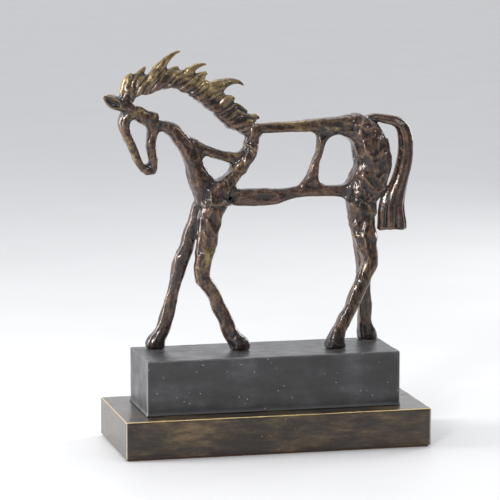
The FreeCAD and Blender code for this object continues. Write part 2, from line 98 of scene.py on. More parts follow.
# Lines along the mane's locks, root to tip, as (x, z) in millimetres.
LOCK_LINES = [
    [(-151, 377), (-151, 390), (-148, 401), (-145.5, 409)],
    [(-146, 384), (-142, 397), (-136, 406), (-129, 415)],
    [(-137, 387), (-127, 398), (-117, 410), (-107, 422), (-91, 430)],
    [(-118, 388), (-107, 401), (-99, 409), (-92, 413)],
    [(-107, 389), (-94, 399), (-83, 407), (-74, 414), (-62, 416)],
    [(-90, 384), (-76, 394), (-66, 403), (-60, 408)],
    [(-78, 378), (-64, 386), (-52, 392), (-38, 396), (-20, 391)],
    [(-62, 367), (-50, 370), (-40, 376), (-30, 379)],
    [(-50, 357), (-40, 362), (-29, 369), (-16, 363)],
    [(-38, 348), (-29, 353), (-17, 357), (-2, 356)],
]
# The crest's middle line under the locks, as (x, z) in millimetres.
CREST_LINE = [(-150, 380), (-131, 391), (-106, 398), (-79, 388.5), (-55, 371), (-33, 351.5), (-10, 346)]
# The line down the middle of the tail, root to end, as (x, z) in millimetres.
TAIL_LINE = [(112, 350), (128, 354), (147.5, 350.3), (156.8, 344.8), (161.6, 334.5), (163, 321), (162, 307),
             (159.3, 294), (156, 282), (151.5, 270), (147.8, 258), (147.2, 245), (147.6, 225)]
TAIL_LOBES = 7
TAIL_HALF_WIDTHS = [(0, 4.5), (60, 8), (120, 10), (165, 17)]      # distance down the tail, half its width

# How much gold each bar shows, from 0 to 1.
GILT = {"mane_locks": 0.6, "mane_ridge": 0.52, "crest": 0.4, "head": 0.36, "near_ear": 0.5, "far_ear": 0.4,
        "back_bar": 0.34, "near_foreleg": 0.28, "near_hind_leg": 0.24, "throat": 0.16, "neck_brace": 0.24,
        "shoulder": 0.24, "haunch": 0.18, "flank_bar": 0.2, "belly_bar": 0.1, "far_foreleg": 0.08,
        "far_hind_leg": 0.02, "tail": 0.1}
# Places rubbed brighter by hand: (x, z, radius) in millimetres, and how much.
RUBBED = [(-66, 198, 22, 0.42), (114, 196, 18, 0.32), (25, 347, 30, 0.34), (-139, 368, 8, 0.8),
          (-150, 325, 16, 0.3), (-60, 395, 16, 0.25), (-28, 298, 14, 0.3)]


# ---- repeatable noise on arrays of points ----
def hashed(cells, seed):
    """Three numbers from 0 to 1 for each whole-number cell."""
    c = cells.astype(np.uint64)
    h = c[:, 0] * np.uint64(73856093) ^ c[:, 1] * np.uint64(19349663) ^ c[:, 2] * np.uint64(83492791)
    h = (h ^ np.uint64(seed * 7919 + 17)) & np.uint64(0xFFFFFFFF)
    numbers = []
    for _ in range(3):
        h = ((h ^ (h >> np.uint64(15))) * np.uint64(0x2C1B3C6D)) & np.uint64(0xFFFFFFFF)
        h = ((h ^ (h >> np.uint64(12))) * np.uint64(0x297A2D39)) & np.uint64(0xFFFFFFFF)
        h = h ^ (h >> np.uint64(15))
        numbers.append(h / 4294967296.0)
    return np.stack(numbers, 1)


def noise(points, seed):
    """Smooth noise of about -0.7 to 0.7, with features one unit apart."""
    cells = np.floor(points).astype(np.int64)
    part = points - cells
    ease = part ** 3 * (part * (part * 6 - 15) + 10)
    total = np.zeros(len(points))
    for corner in itertools.product((0, 1), repeat=3):
        step = np.array(corner)
        slope = hashed(cells + step, seed) * 2 - 1
        weight = np.prod(np.where(step == 1, ease, 1 - ease), axis=1)
        total += weight * np.sum(slope * (part - step), axis=1)
    return total


def creased(points, seed):
    """Rounded hollows between crisp, wandering ridges: 1 on a ridge, about 0 on average."""
    return 1 - 4.2 * np.abs(noise(points, seed))


def scoops(points, seed):
    """Shallow dents one unit apart that meet in crisp ridges: -0.3 at a dent's bottom and about 0.3 on a
    ridge."""
    cells = np.floor(points).astype(np.int64)
    nearest = np.full(len(points), 9.0)
    for step in itertools.product((-1, 0, 1), repeat=3):
        cell = cells + np.array(step)
        centre = cell + hashed(cell, seed)
        nearest = np.minimum(nearest, np.sum((points - centre) ** 2, axis=1))
    return nearest - 0.3


def wander(points, size, seed):
    """A smooth, uneven shift of every point, of about half a unit."""
    return np.stack([noise(points / size, seed + k) for k in range(3)], 1) * 1.1


def smoothstep(low, high, x):
    t = np.clip((x - low) / (high - low), 0, 1)
    return t * t * (3 - 2 * t)


# ---- surfaces as arrays ----
class Surface:
    """A mesh of four-sided faces held as arrays, for sculpting."""

    def __init__(self, mesh):
        self.points = np.zeros(len(mesh.vertices) * 3)
        mesh.vertices.foreach_get("co", self.points)
        self.points = self.points.reshape(-1, 3)
        corners = np.zeros(len(mesh.loops), np.int32)
        mesh.loops.foreach_get("vertex_index", corners)
        self.faces = corners.reshape(-1, 4).astype(np.int64)
        edges = np.zeros(len(mesh.edges) * 2, np.int32)
        mesh.edges.foreach_get("vertices", edges)
        self.edges = edges.reshape(-1, 2)
        self.valence = np.bincount(self.edges.ravel(), minlength=len(self.points))

    def gather(self, where, values):
        columns = [np.bincount(where, values[:, k], len(self.points)) for k in range(values.shape[1])]
        return np.stack(columns, 1)

    def normals(self):
        p = self.points[self.faces]
        across = np.cross(p[:, 2] - p[:, 0], p[:, 3] - p[:, 1])
        total = self.gather(self.faces.ravel(), np.repeat(across, 4, axis=0))
        return total / np.maximum(np.linalg.norm(total, axis=1, keepdims=True), 1e-12)

    def smooth_normals(self):
        normals = self.averaged(self.normals(), 2)
        return normals / np.linalg.norm(normals, axis=1, keepdims=True)

    def averaged(self, values, rounds):
        """Values at the points, evened out with their neighbours."""
        flat = values.ndim == 1
        values = values.reshape(len(values), -1).astype(float)
        a, b = self.edges.T
        for _ in range(rounds):
            total = self.gather(a, values[b]) + self.gather(b, values[a])
            values = 0.5 * values + 0.5 * total / self.valence[:, None]
        return values[:, 0] if flat else values

    def relax(self, rounds):
        """Evens out the surface with almost no shrinking."""
        for _ in range(rounds):
            self.points = self.averaged(self.points, 1)
            self.points = 2.04 * self.points - 1.04 * self.averaged(self.points, 1)

    def ridges(self):
        """0 in a hollow, 0.5 on a plain stretch and 1 on a ridge, from how far each point stands proud."""
        normals = self.averaged(self.normals(), 1)
        total = np.zeros(len(self.points))
        for rounds in (4, 18):
            proud = np.sum((self.points - self.averaged(self.points, rounds)) * normals, axis=1)
            total += proud / np.std(proud)
        return np.clip(0.5 + 0.16 * self.averaged(total, 1), 0, 1)


def filled_mesh(name, points, faces):
    """A mesh from an array of points and a list of arrays, each of faces with one number of corners."""
    mesh = bpy.data.meshes.new(name)
    sizes = np.concatenate([np.full(len(f), f.shape[1]) for f in faces])
    mesh.vertices.add(len(points))
    mesh.vertices.foreach_set("co", points.astype(np.float32).ravel())
    mesh.loops.add(int(sizes.sum()))
    mesh.loops.foreach_set("vertex_index", np.concatenate([f.ravel() for f in faces]).astype(np.int32))
    mesh.polygons.add(len(sizes))
    mesh.polygons.foreach_set("loop_start", np.concatenate([[0], np.cumsum(sizes)[:-1]]).astype(np.int32))
    mesh.update(calc_edges=True)
    return mesh


def linked(name, mesh):
    obj = bpy.data.objects.new(name, mesh)
    bpy.context.scene.collection.objects.link(obj)
    return obj


def node_triangles(nodes):
    """Points, triangles and each triangle's node number, from copies of CAD nodes."""
    points, faces, labels, start = [], [], [], 0
    for number, node in enumerate(nodes):
        mesh = frame["nodes"][node].data
        mesh.calc_loop_triangles()
        co = np.zeros(len(mesh.vertices) * 3)
        mesh.vertices.foreach_get("co", co)
        tri = np.zeros(len(mesh.loop_triangles) * 3, np.int32)
        mesh.loop_triangles.foreach_get("vertices", tri)
        points.append(co.reshape(-1, 3))
        faces.append(tri.reshape(-1, 3) + start)
        labels.append(np.full(len(tri) // 3, number))
        start += len(co) // 3
    return np.concatenate(points), np.concatenate(faces), np.concatenate(labels)


def remeshed(points, faces, voxel):
    """One clean skin round everything given."""
    rough_mesh = filled_mesh("rough", points, [faces])
    obj = linked("rough", rough_mesh)
    change = obj.modifiers.new("remesh", "REMESH")
    change.mode = "VOXEL"
    change.voxel_size = voxel
    depsgraph = bpy.context.evaluated_depsgraph_get()
    skin_mesh = bpy.data.meshes.new_from_object(obj.evaluated_get(depsgraph))
    surface = Surface(skin_mesh)
    bpy.data.objects.remove(obj)
    bpy.data.meshes.remove(rough_mesh)
    bpy.data.meshes.remove(skin_mesh)
    return surface


def weld_fillet(p):
    """Radius of the metal in the corners between bars: small round the face and down the legs, large in the
    flank's oval window and where the legs start."""
    x, z = p[:, 0] / MM, p[:, 2] / MM
    radius = WELD_FILLET - FACE_LESS * (1 - smoothstep(-126, -114, x))
    radius -= LEGS_LESS * (1 - smoothstep(244, 260, z))
    for place_x, place_z, height_weight, near, far, change in FILLET_PLACES:
        distance = np.hypot(x - place_x, height_weight * (z - place_z))
        radius += change * (1 - smoothstep(near, far, distance))
    return radius * MM


def trim_fillet(p):
    return np.full(len(p), TRIM_FILLET)


def filleted(points, faces, radius_at, voxel, rounds):
    """The same skin with its inside corners filled: swollen, made whole and shrunk back."""
    surface = remeshed(points, faces, voxel)
    surface.points = surface.points + surface.smooth_normals() * radius_at(surface.points)[:, None]
    surface = remeshed(surface.points, surface.faces, voxel)
    surface.relax(3)
    normals = surface.smooth_normals()
    radius = radius_at(surface.points)
    for _ in range(4):
        radius = radius_at(surface.points - normals * radius[:, None])
    surface.points = surface.points - normals * radius[:, None]
    surface.relax(rounds)
    return surface


# ---- sculpting ----
def nearest_on_lines(points, lines):
    """For points (x, z) and several lines: the nearest line, the distance along it, the signed distance from it,
    and how much further the next line is."""
    best = np.full(len(points), 1e9)
    second = np.full(len(points), 1e9)
    which = np.zeros(len(points), int)
    along = np.zeros(len(points))
    aside = np.zeros(len(points))
    for number, line in enumerate(lines):
        line = np.array(line) * MM
        line_best = np.full(len(points), 1e9)
        line_along, line_aside, travelled = np.zeros(len(points)), np.zeros(len(points)), 0.0
        for a, b in zip(line[:-1], line[1:]):
            length = np.linalg.norm(b - a)
            t = (b - a) / length
            s = (points - a) @ t
            off = points - a - np.clip(s, 0, length)[:, None] * t
            distance = np.linalg.norm(off, axis=1)
            closer = distance < line_best
            line_best = np.where(closer, distance, line_best)
            line_along = np.where(closer, travelled + s, line_along)
            line_aside = np.where(closer, off[:, 0] * -t[1] + off[:, 1] * t[0], line_aside)
            travelled += length
        closer = line_best < best
        second = np.where(closer, best, np.minimum(second, line_best))
        best = np.where(closer, line_best, best)
        which = np.where(closer, number, which)
        along = np.where(closer, line_along, along)
        aside = np.where(closer, line_aside, aside)
    return which, along, aside, second - best


def modelled(p, stretch, rough, seed):
    """Hand-modelled wax: long smooth facets drawn out along one axis, with thumb dents where it is rough."""
    drift = wander(p, 20 * MM, seed)
    q = p / np.array(stretch)
    worked = smoothstep(-0.2, 0.35, noise(p / (19 * MM), seed + 3)) * rough
    relief = noise(q / (10 * MM), seed + 4) * 1.2
    relief += scoops(q / (10.5 * MM) + drift, seed + 5) * (1.2 + 1.7 * rough)
    relief += scoops(q / (4.8 * MM) + 1.4 * drift, seed + 6) * (0.28 + 0.5 * worked)
    relief += noise(q / (3.1 * MM) + drift, seed + 7) * (0.2 + 0.3 * worked)
    return (relief - 0.25) * MM


def mane_strands(p):
    """Relief and streaks of the flame-shaped locks, with strands drawn along each."""
    which, along, aside, gap = nearest_on_lines(p[:, [0, 2]], LOCK_LINES)
    aside = aside + noise(p / (15 * MM), 60) * 6.0 * MM
    depth = p[:, 1] / (14 * MM) + which * 7.3
    strand = noise(np.stack([aside / (5.6 * MM), along / (34 * MM), depth], 1), 61)
    fine = creased(np.stack([aside / (4.4 * MM), along / (24 * MM), depth], 1), 62)
    relief = 2.1 * strand + 0.22 * fine + 1.2 * noise(p / (10 * MM), 63)
    relief += 0.5 * scoops(p / (6 * MM) + wander(p, 12 * MM, 67), 68) - 0.8 * np.exp(-gap / (1.2 * MM)) - 0.1
    streak = noise(np.stack([aside / (3.6 * MM), along / (20 * MM), depth + 3], 1), 65)
    return relief * MM, streak + 0.4 * strand


def streaks(p, stretch, seed):
    """Fine brushed patina, drawn out along one axis."""
    q = p / np.array(stretch)
    return noise(q / (3.2 * MM) + wander(p, 12 * MM, seed), seed + 3) + 0.7 * noise(q / (1.9 * MM), seed + 4)


def tail_lobes(p):
    """1 in the middle of each strand of the tail and -1 in the grooves between them."""
    _, along, aside, _ = nearest_on_lines(p[:, [0, 2]], [TAIL_LINE])
    distances, widths = np.array(TAIL_HALF_WIDTHS).T * MM
    half_width = np.interp(along, distances, widths)
    angle = np.arctan2((p[:, 1] - HORSE_Y) / (9.5 * MM), -aside / half_width)
    return -np.cos(TAIL_LOBES * angle), along, angle


def tail_relief(p):
    """Long satin strands that run down the tail."""
    lobe, along, angle = tail_lobes(p)
    fine = np.stack([np.cos(angle) * 2.2, np.sin(angle) * 2.2, along / (50 * MM)], 1)
    spread = smoothstep(120 * MM, 170 * MM, along)
    relief = 0.5 * (1 - spread) * -lobe - spread * 1.3 * smoothstep(0.35, 1.0, -lobe)
    relief += 0.9 * noise(fine, 81) + 0.8 * noise(p / (13 * MM), 82) + 0.14 * noise(p / (2.6 * MM), 83)
    return relief * MM


def patches(faces, found):
    """A number shared by all the faces of each connected patch with one label."""
    edges = np.sort(np.concatenate([faces[:, [k, (k + 1) % 4]] for k in range(4)]), axis=1)
    owners = np.tile(np.arange(len(faces)), 4)
    keys = edges[:, 0] * (faces.max() + 1) + edges[:, 1]
    order = np.argsort(keys, kind="stable")
    keys, owners = keys[order], owners[order]
    shared = (keys[1:] == keys[:-1]) & (found[owners[1:]] == found[owners[:-1]])
    a, b = owners[1:][shared], owners[:-1][shared]
    patch = np.arange(len(faces))
    while True:
        lowest = np.minimum(patch[a], patch[b])
        merged = patch.copy()
        np.minimum.at(merged, patch[a], lowest)
        np.minimum.at(merged, patch[b], lowest)
        merged = merged[merged]
        if np.array_equal(merged, patch):
            return patch
        patch = merged


def votes(surface, found, voting):
    """How many votes each label gets at each face, from the voting faces that touch it."""
    count = len(surface.points)
    keys = (surface.faces * len(HORSE) + found[:, None])[voting]
    weight = np.bincount(keys.ravel(), minlength=count * len(HORSE)).reshape(count, -1)
    return weight[surface.faces].sum(axis=1)


def labels_for(surface, points, triangles, labels):
    """Each face's node, by the nearest CAD surface, with ragged borders and stray patches evened out."""
    tree = BVHTree.FromPolygons(points.tolist(), triangles.tolist())
    centres = surface.points[surface.faces].mean(axis=1).tolist()
    found = labels[[tree.find_nearest(c)[2] for c in centres]]
    everyone = np.ones(len(found), bool)
    for _ in range(5):
        found = votes(surface, found, everyone).argmax(axis=1)
    patch = patches(surface.faces, found)
    lost = np.bincount(patch, minlength=len(patch))[patch] < SMALL_PATCH
    while lost.any():
        tally = votes(surface, found, ~lost)
        reached = lost & (tally.max(axis=1) > 0)
        found = np.where(reached, tally.argmax(axis=1), found)
        lost &= ~reached
    return found


def node_share(surface, face_labels, nodes, rounds):
    """1 at the points of the named nodes and 0 elsewhere, blended where they meet."""
    chosen = np.isin(face_labels, [HORSE.index(n) for n in nodes]).astype(float)
    total = np.bincount(surface.faces.ravel(), np.repeat(chosen, 4), len(surface.points))
    count = np.bincount(surface.faces.ravel(), minlength=len(surface.points))
    return surface.averaged(total / count, rounds)


def relief_and_streaks(p, share, rough):
    """How far each point stands proud of the plain skin, and how light or dark the patina's streaks are there."""
    plain = np.clip(1 - sum(share.values()), 0, 1)
    mane, mane_streaks = mane_strands(p)
    relief = plain * modelled(p, (1, 1, 1.5), rough, 10)
    relief += share["legs"] * modelled(p, (1, 1, 2.2), rough, 20)
    relief += share["bars"] * modelled(p, (2.4, 1, 1), rough, 30)
    relief += share["mane"] * mane
    relief += share["tail"] * tail_relief(p)
    relief += share["ears"] * noise(p / (5 * MM), 40) * 0.3 * MM
    _, along, angle = tail_lobes(p)
    down_tail = np.stack([np.cos(angle) * 4, np.sin(angle) * 4, along / (30 * MM)], 1)
    streak = plain * streaks(p, (1, 1, 1.6), 100)
    streak += share["legs"] * streaks(p, (1, 1, 2.8), 110)
    streak += share["bars"] * streaks(p, (2.8, 1, 1), 120)
    streak += share["mane"] * mane_streaks
    streak += share["tail"] * noise(down_tail, 130)
    return relief, streak


def keep_in_bounds(surface, above):
    """Keeps the skin inside the CAD model's box, and the hooves on the plinth."""
    margin = 0.05 * MM
    surface.points = np.clip(surface.points, np.array(cad_low) + margin, np.array(cad_high) - margin)
    floor = np.where(above < 3 * MM, PLINTH_TOP - 0.4 * MM, 0)
    surface.points[:, 2] = np.maximum(surface.points[:, 2], floor)


def gilding(surface, face_labels, p, mane_share):
    """How much gold shows at each point: by bar, where hands rub it, in blotches, and less low in the mane."""
    gilt = sum(node_share(surface, face_labels, [n], 12) * amount for n, amount in GILT.items())
    for x, z, radius, amount in RUBBED:
        distance = np.hypot(p[:, 0] - x * MM, p[:, 2] - z * MM) / (radius * MM)
        gilt += amount * np.exp(-distance ** 2)
    blotches = smoothstep(-0.3, 0.5, noise(p / (12 * MM) + wander(p, 9 * MM, 90), 93))
    low_down = smoothstep(-4 * MM, 10 * MM, p[:, 2] - np.interp(p[:, 0], *np.array(CREST_LINE).T * MM))
    gilt *= mane_share * (0.35 + 0.7 * low_down) + (1 - mane_share) * (0.35 + 0.85 * blotches)
    gilt *= 1 - 0.4 * mane_share * smoothstep(-75 * MM, -30 * MM, p[:, 0])
    return gilt


def sculpt(surface, face_labels):
    """Models the whole skin, and gives its ridges, its gold and the patina's streaks at each point."""
    p = surface.points.copy()
    above = p[:, 2] - PLINTH_TOP
    groups = {"legs": LEGS, "bars": LEVEL_BARS, "mane": MANE, "tail": ["tail"], "ears": EARS}
    share = {name: node_share(surface, face_labels, nodes, 8) for name, nodes in groups.items()}
    rough = node_share(surface, face_labels, ROUGH_BARS, 14) * smoothstep(185 * MM, 225 * MM, p[:, 2])
    relief, streak = relief_and_streaks(p, share, rough)
    relief *= smoothstep(0.5 * MM, 5 * MM, above)
    surface.points = p + surface.smooth_normals() * relief[:, None]
    lobe, _, _ = tail_lobes(p)
    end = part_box("tail")[0].z
    lift = (1 - smoothstep(end, end + 9 * MM, p[:, 2])) * share["tail"] * smoothstep(-0.5, 1, -lobe)
    surface.points[:, 2] += lift * 4.5 * MM
    keep_in_bounds(surface, above)
    gilt = gilding(surface, face_labels, p, share["mane"])
    gilt *= smoothstep(14 * MM, 34 * MM, above)
    ridge = surface.ridges() * (0.45 + 0.55 * smoothstep(9 * MM, 26 * MM, above))
    return {"ridge": ridge, "gilt": np.clip(gilt, 0, 1), "streak": np.clip(0.5 + 0.55 * streak, 0, 1)}


def boundary_loops(faces, count):
    """Closed rings of points where a patch of faces ends, each in the order that a cap needs."""
    pairs = np.concatenate([faces[:, [k, (k + 1) % 4]] for k in range(4)])
    forward, backward = pairs[:, 0] * count + pairs[:, 1], pairs[:, 1] * count + pairs[:, 0]
    following = {}
    for a, b in pairs[~np.isin(forward, backward)].tolist():
        following.setdefault(b, []).append(a)
    loops = []
    while following:
        start = min(following)
        loop, here = [start], start
        while True:
            steps = following[here]
            there = steps.pop()
            if not steps:
                del following[here]
            if there == start or there not in following:
                break
            loop.append(there)
            here = there
        if len(loop) > 2:
            loops.append(loop)
    return loops


def laced(loop, ring):
    """Triangles that close a ring of places, laced across it from its far end like a boot."""
    first = int(np.argmax(np.linalg.norm(ring - ring.mean(axis=0), axis=1)))
    loop = loop[first:] + loop[:first]
    ring = np.roll(ring, -first, axis=0)
    i, j = 1, len(loop) - 1
    triangles = [(loop[0], loop[i], loop[j])]
    while j - i > 1:
        if np.sum((ring[i + 1] - ring[j]) ** 2) < np.sum((ring[i] - ring[j - 1]) ** 2):
            triangles.append((loop[i], loop[i + 1], loop[j]))
            i += 1
        else:
            triangles.append((loop[i], loop[j - 1], loop[j]))
            j -= 1
    return triangles


def closed(faces, points, normals):
    """A patch closed at its open ends, under the skin: which of its points each point comes from, the places of
    them all, and its four-sided and three-sided faces."""
    sources = [np.arange(len(points))]
    places = [points]
    quads = [faces]
    caps = []
    start = len(points)
    for loop in boundary_loops(faces, len(points)):
        ring = np.array(loop)
        inner = np.arange(start, start + len(loop))
        start += len(loop)
        sources.append(ring)
        places.append(points[ring] - normals[ring] * CLOSING_DEPTH)
        quads.append(np.stack([ring, np.roll(ring, -1), np.roll(inner, -1), inner], 1))
        caps += laced(inner.tolist(), places[-1])
    triangles = np.array(caps, np.int64).reshape(-1, 3)
    return np.concatenate(sources), np.concatenate(places), [np.concatenate(quads), triangles]


def cut_out(surface, normals, chosen, name, values):
    """One bar of the skin as a closed mesh of its own, shaded as part of the whole."""
    used, inverse = np.unique(surface.faces[chosen], return_inverse=True)
    sources, places, faces = closed(inverse.reshape(-1, 4), surface.points[used], normals[used])
    used = used[sources]
    mesh = filled_mesh(name, places, faces)
    mesh.shade_smooth()
    mesh.normals_split_custom_set_from_vertices(normals[used].tolist())
    for attribute, numbers in values.items():
        layer = mesh.attributes.new(attribute, "FLOAT", "POINT")
        layer.data.foreach_set("value", numbers[used].astype(np.float32))
    return linked(name, mesh)


def make_horse(finish):
    """The whole horse as one sculpted skin, then cut into its bars again at the welds."""
    points, triangles, labels = node_triangles(HORSE)
    trimmings = triangles[labels >= len(BARS)]
    bars = filleted(points, triangles[labels < len(BARS)], weld_fillet, ROUGH_VOXEL, 10)
    bar_triangles = np.concatenate([bars.faces[:, [0, 1, 2]], bars.faces[:, [0, 2, 3]]])
    whole = np.concatenate([bar_triangles, trimmings + len(bars.points)])
    skin = filleted(np.concatenate([bars.points, points]), whole, trim_fillet, VOXEL, 3)
    face_labels = labels_for(skin, points, triangles, labels)
    values = sculpt(skin, face_labels)
    normals = skin.normals()
    for number, node in enumerate(HORSE):
        piece = cut_out(skin, normals, face_labels == number, f"bronze_{node}", values)
        piece.data.materials.append(finish)
        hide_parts(node)
        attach(piece, "root")


# ---- the plinth ----
def hoof_places():
    """Where each hoof stands, as (x, y)."""
    places = []
    for leg in LEGS:
        points, _, _ = node_triangles([leg])
        sole = points[points[:, 2] < PLINTH_TOP + 0.5 * MM]
        places.append(sole[:, :2].mean(axis=0))
    return places


def tier_surface(node, low, high, bead, seed):
    """A cast tier's skin: slightly wavy faces, soft edges, and a bead of filler round its foot. Also gives the
    places before the waves, and on which sides each point lies."""
    points, triangles, _ = node_triangles([node])
    surface = remeshed(points, triangles, TIER_VOXEL)
    surface.relax(1)
    p = surface.points.copy()
    outer = np.minimum(np.min(p - low, axis=1), np.min(high - p, axis=1)) < 1.6 * TIER_VOXEL
    outer &= p[:, 2] > low[2] + 2 * TIER_VOXEL
    outer = surface.averaged(outer.astype(float), 1)
    wave = noise(p / (60 * MM), seed) * 0.5 + noise(p / (17 * MM), seed + 1) * 0.3
    wave += noise(p / (5 * MM), seed + 2) * 0.1 - 0.35
    surface.points = p + surface.smooth_normals() * (outer * wave * MM)[:, None]
    surface.points = np.clip(surface.points, low, high)
    foot = np.exp(-((p[:, 2] - low[2]) / (1.8 * MM)) ** 2)
    side = np.where(np.abs(p[:, :2]) > high[:2] - 2 * MM, np.sign(p[:, :2]), 0)
    surface.points[:, :2] += side * (foot * bead)[:, None]
    return surface, p, side


def tier_wear(surface, p, side, high):
    """Where a tier's ridges are, where filler is smeared, with a painted reflection over the whole top, where its
    top edges are rubbed, and where its upright edges carry a painted highlight.
    """
    # A painted reflection of 0.25 over the whole top face, raised to filler smeared about each hoof.
    smear_and_top_reflection = np.full(len(p), 0.25)
    for place in hoof_places():
        distance = np.hypot(*((p[:, :2] - place) / np.array([26 * MM, 14 * MM])).T)
        smear_and_top_reflection = np.maximum(smear_and_top_reflection, np.exp(-distance ** 2))
    smear_and_top_reflection *= smoothstep(high[2] - 2 * MM, high[2] - MM, p[:, 2])
    rub = smoothstep(high[2] - 2.0 * MM, high[2] - 0.7 * MM, p[:, 2]) * np.any(side != 0, axis=1)
    # The upright corner edges, for a painted highlight down them.
    upright_edge_highlight = np.all(np.abs(p[:, :2]) > high[:2] - 1.5 * MM, axis=1) * 1.0
    return {"ridge": surface.ridges(), "smear_and_top_reflection": smear_and_top_reflection, "rub": surface.averaged(rub, 1), "upright_edge_highlight": upright_edge_highlight}


def make_tier(node, finish, bead, seed):
    """A cast tier's piece, in place of its node."""
    low, high = (np.array(c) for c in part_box(node))
    surface, p, side = tier_surface(node, low, high, bead, seed)
    values = tier_wear(surface, p, side, high)
    everything = np.ones(len(surface.faces), bool)
    piece = cut_out(surface, surface.normals(), everything, f"cast_{node}", values)
    piece.data.materials.append(finish)
    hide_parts(node)
    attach(piece, "root")


# ---- materials ----
class Finish:
    """Short forms for building one material's nodes."""

    def __init__(self, name):
        self.material = bpy.data.materials.new(name)
        self.material.use_nodes = True
        self.tree = self.material.node_tree
        self.shader = self.tree.nodes["Principled BSDF"]
        self.place = self.node("TexCoord").outputs["Object"]

    def node(self, kind, **settings):
        made = self.tree.nodes.new("ShaderNode" + kind)
        for key, value in settings.items():
            setattr(made, key, value)
        return made

    def put(self, socket, value):
        if isinstance(value, bpy.types.NodeSocket):
            self.tree.links.new(value, socket)
        else:
            socket.default_value = value

    def set(self, **values):
        for key, value in values.items():
            self.put(self.shader.inputs[key.replace("_", " ")], value)

    def attribute(self, name):
        return self.node("Attribute", attribute_name=name).outputs["Fac"]

    def stretched(self, scale):
        made = self.node("Mapping")
        self.put(made.inputs["Vector"], self.place)
        self.put(made.inputs["Scale"], scale)
        return made.outputs["Vector"]

    def noise(self, scale, detail=5.0, roughness=0.55, vector=None):
        made = self.node("TexNoise")
        self.put(made.inputs["Vector"], vector or self.place)
        self.put(made.inputs["Scale"], scale)
        self.put(made.inputs["Detail"], detail)
        self.put(made.inputs["Roughness"], roughness)
        return made.outputs["Fac"]

    def cells(self, scale, feature="F1"):
        made = self.node("TexVoronoi", feature=feature)
        self.put(made.inputs["Vector"], self.place)
        self.put(made.inputs["Scale"], scale)
        return made.outputs["Distance"]

    def spots(self, scale, rarity, shift):
        """A mask of scattered round spots of uneven sizes, all moved over by the shift."""
        moved = self.node("Mapping")
        self.put(moved.inputs["Vector"], self.place)
        self.put(moved.inputs["Location"], (shift, shift, shift))
        made = self.node("TexVoronoi", feature="F1")
        self.put(made.inputs["Vector"], moved.outputs["Vector"])
        self.put(made.inputs["Scale"], scale)
        chance = self.node("SeparateColor")
        self.put(chance.inputs[0], made.outputs["Color"])
        picked = self.math("GREATER_THAN", chance.outputs[0], rarity)
        size = self.between(chance.outputs[1], 0.0, 1.0, 0.07, 0.15)
        spot = self.between(made.outputs["Distance"], self.math("MULTIPLY", size, 0.6), size, 1.0, 0.0)
        return self.math("MULTIPLY", spot, picked)

    def pinholes(self, scale, rarity):
        """Two masks: scattered pinholes, and a painted glint on one side of each, the same side for all."""
        hole = self.spots(scale, rarity, 0.0)
        # The glint is a painted highlight: the same spots moved over a little, less the pit itself.
        painted_glint = self.math("SUBTRACT", self.spots(scale, rarity, 0.4 * MM), hole)
        return hole, self.math("MAXIMUM", painted_glint, 0.0)

    def math(self, operation, a, b=0.0, c=0.0):
        made = self.node("Math", operation=operation)
        for socket, value in zip(made.inputs, (a, b, c)):
            self.put(socket, value)
        return made.outputs[0]

    def between(self, value, low, high, to_low=0.0, to_high=1.0):
        made = self.node("MapRange", interpolation_type="SMOOTHSTEP")
        for key, number in zip(("Value", "From Min", "From Max", "To Min", "To Max"),
                               (value, low, high, to_low, to_high)):
            self.put(made.inputs[key], number)
        return made.outputs[0]

    def ramp(self, value, stops):
        made = self.node("ValToRGB")
        points = made.color_ramp.elements
        while len(points) < len(stops):
            points.new(0.5)
        for point, (position, colour) in zip(points, stops):
            point.position = position
            point.color = (*colour, 1)
        self.put(made.inputs["Fac"], value)
        return made.outputs["Color"]

    def mix(self, share, a, b):
        made = self.node("Mix", data_type="RGBA")
        self.put(made.inputs[0], share)
        for socket, colour in ((made.inputs[6], a), (made.inputs[7], b)):
            self.put(socket, (*colour, 1) if isinstance(colour, tuple) else colour)
        return made.outputs[2]

    def bump(self, height, strength, distance):
        made = self.node("Bump")
        self.put(made.inputs["Height"], height)
        self.put(made.inputs["Strength"], strength)
        self.put(made.inputs["Distance"], distance)
        self.put(self.shader.inputs["Normal"], made.outputs["Normal"])


def bronze():
    """Dark brown patina over bronze, black in its hollows, worn paler on ridges and to gold in patches."""
    f = Finish("patinated_bronze")
    ridge, gilt, streak = f.attribute("ridge"), f.attribute("gilt"), f.attribute("streak")
    cloud = f.noise(42, 9, 0.7)
    speck = f.noise(420, 6, 0.7)
    uneven = f.math("MULTIPLY_ADD", streak, 0.3, f.math("MULTIPLY_ADD", speck, 0.5, -0.52))
    uneven = f.math("MULTIPLY_ADD", ridge, 0.42, uneven)
    tone = f.math("MULTIPLY_ADD", cloud, 0.85, uneven)
    patina = f.ramp(tone, [(0.28, (0.004, 0.003, 0.004)), (0.45, (0.014, 0.008, 0.007)),
                           (0.57, (0.046, 0.021, 0.013)), (0.70, (0.115, 0.061, 0.037)),
                           (0.90, (0.28, 0.18, 0.12))])
    rub = f.math("MULTIPLY_ADD", streak, 0.9, f.math("MULTIPLY_ADD", speck, 0.9, -1.15))
    rub = f.math("MULTIPLY_ADD", ridge, 0.5, f.math("ADD", gilt, rub))
    olive = f.mix(f.between(rub, 0.2, 0.6, 0.0, 0.75), patina, (0.075, 0.046, 0.019))
    gold = f.mix(f.noise(170, 5), (0.16, 0.105, 0.042), (0.36, 0.265, 0.125))
    gold_share = f.between(rub, 0.38, 0.95, 0.0, 0.95)
    f.set(Base_Color=f.mix(gold_share, olive, gold), Metallic=f.between(rub, 0.3, 0.9, 0.35, 0.8),
          Roughness=f.between(speck, 0.3, 0.7, 0.24, 0.42), Coat_Weight=0.6, Coat_Roughness=0.13)
    grain = f.math("ADD", f.noise(800, 5, 0.6), f.math("MULTIPLY", f.cells(340), 0.8))
    f.bump(grain, 0.45, 0.3 * MM)
    return f.material


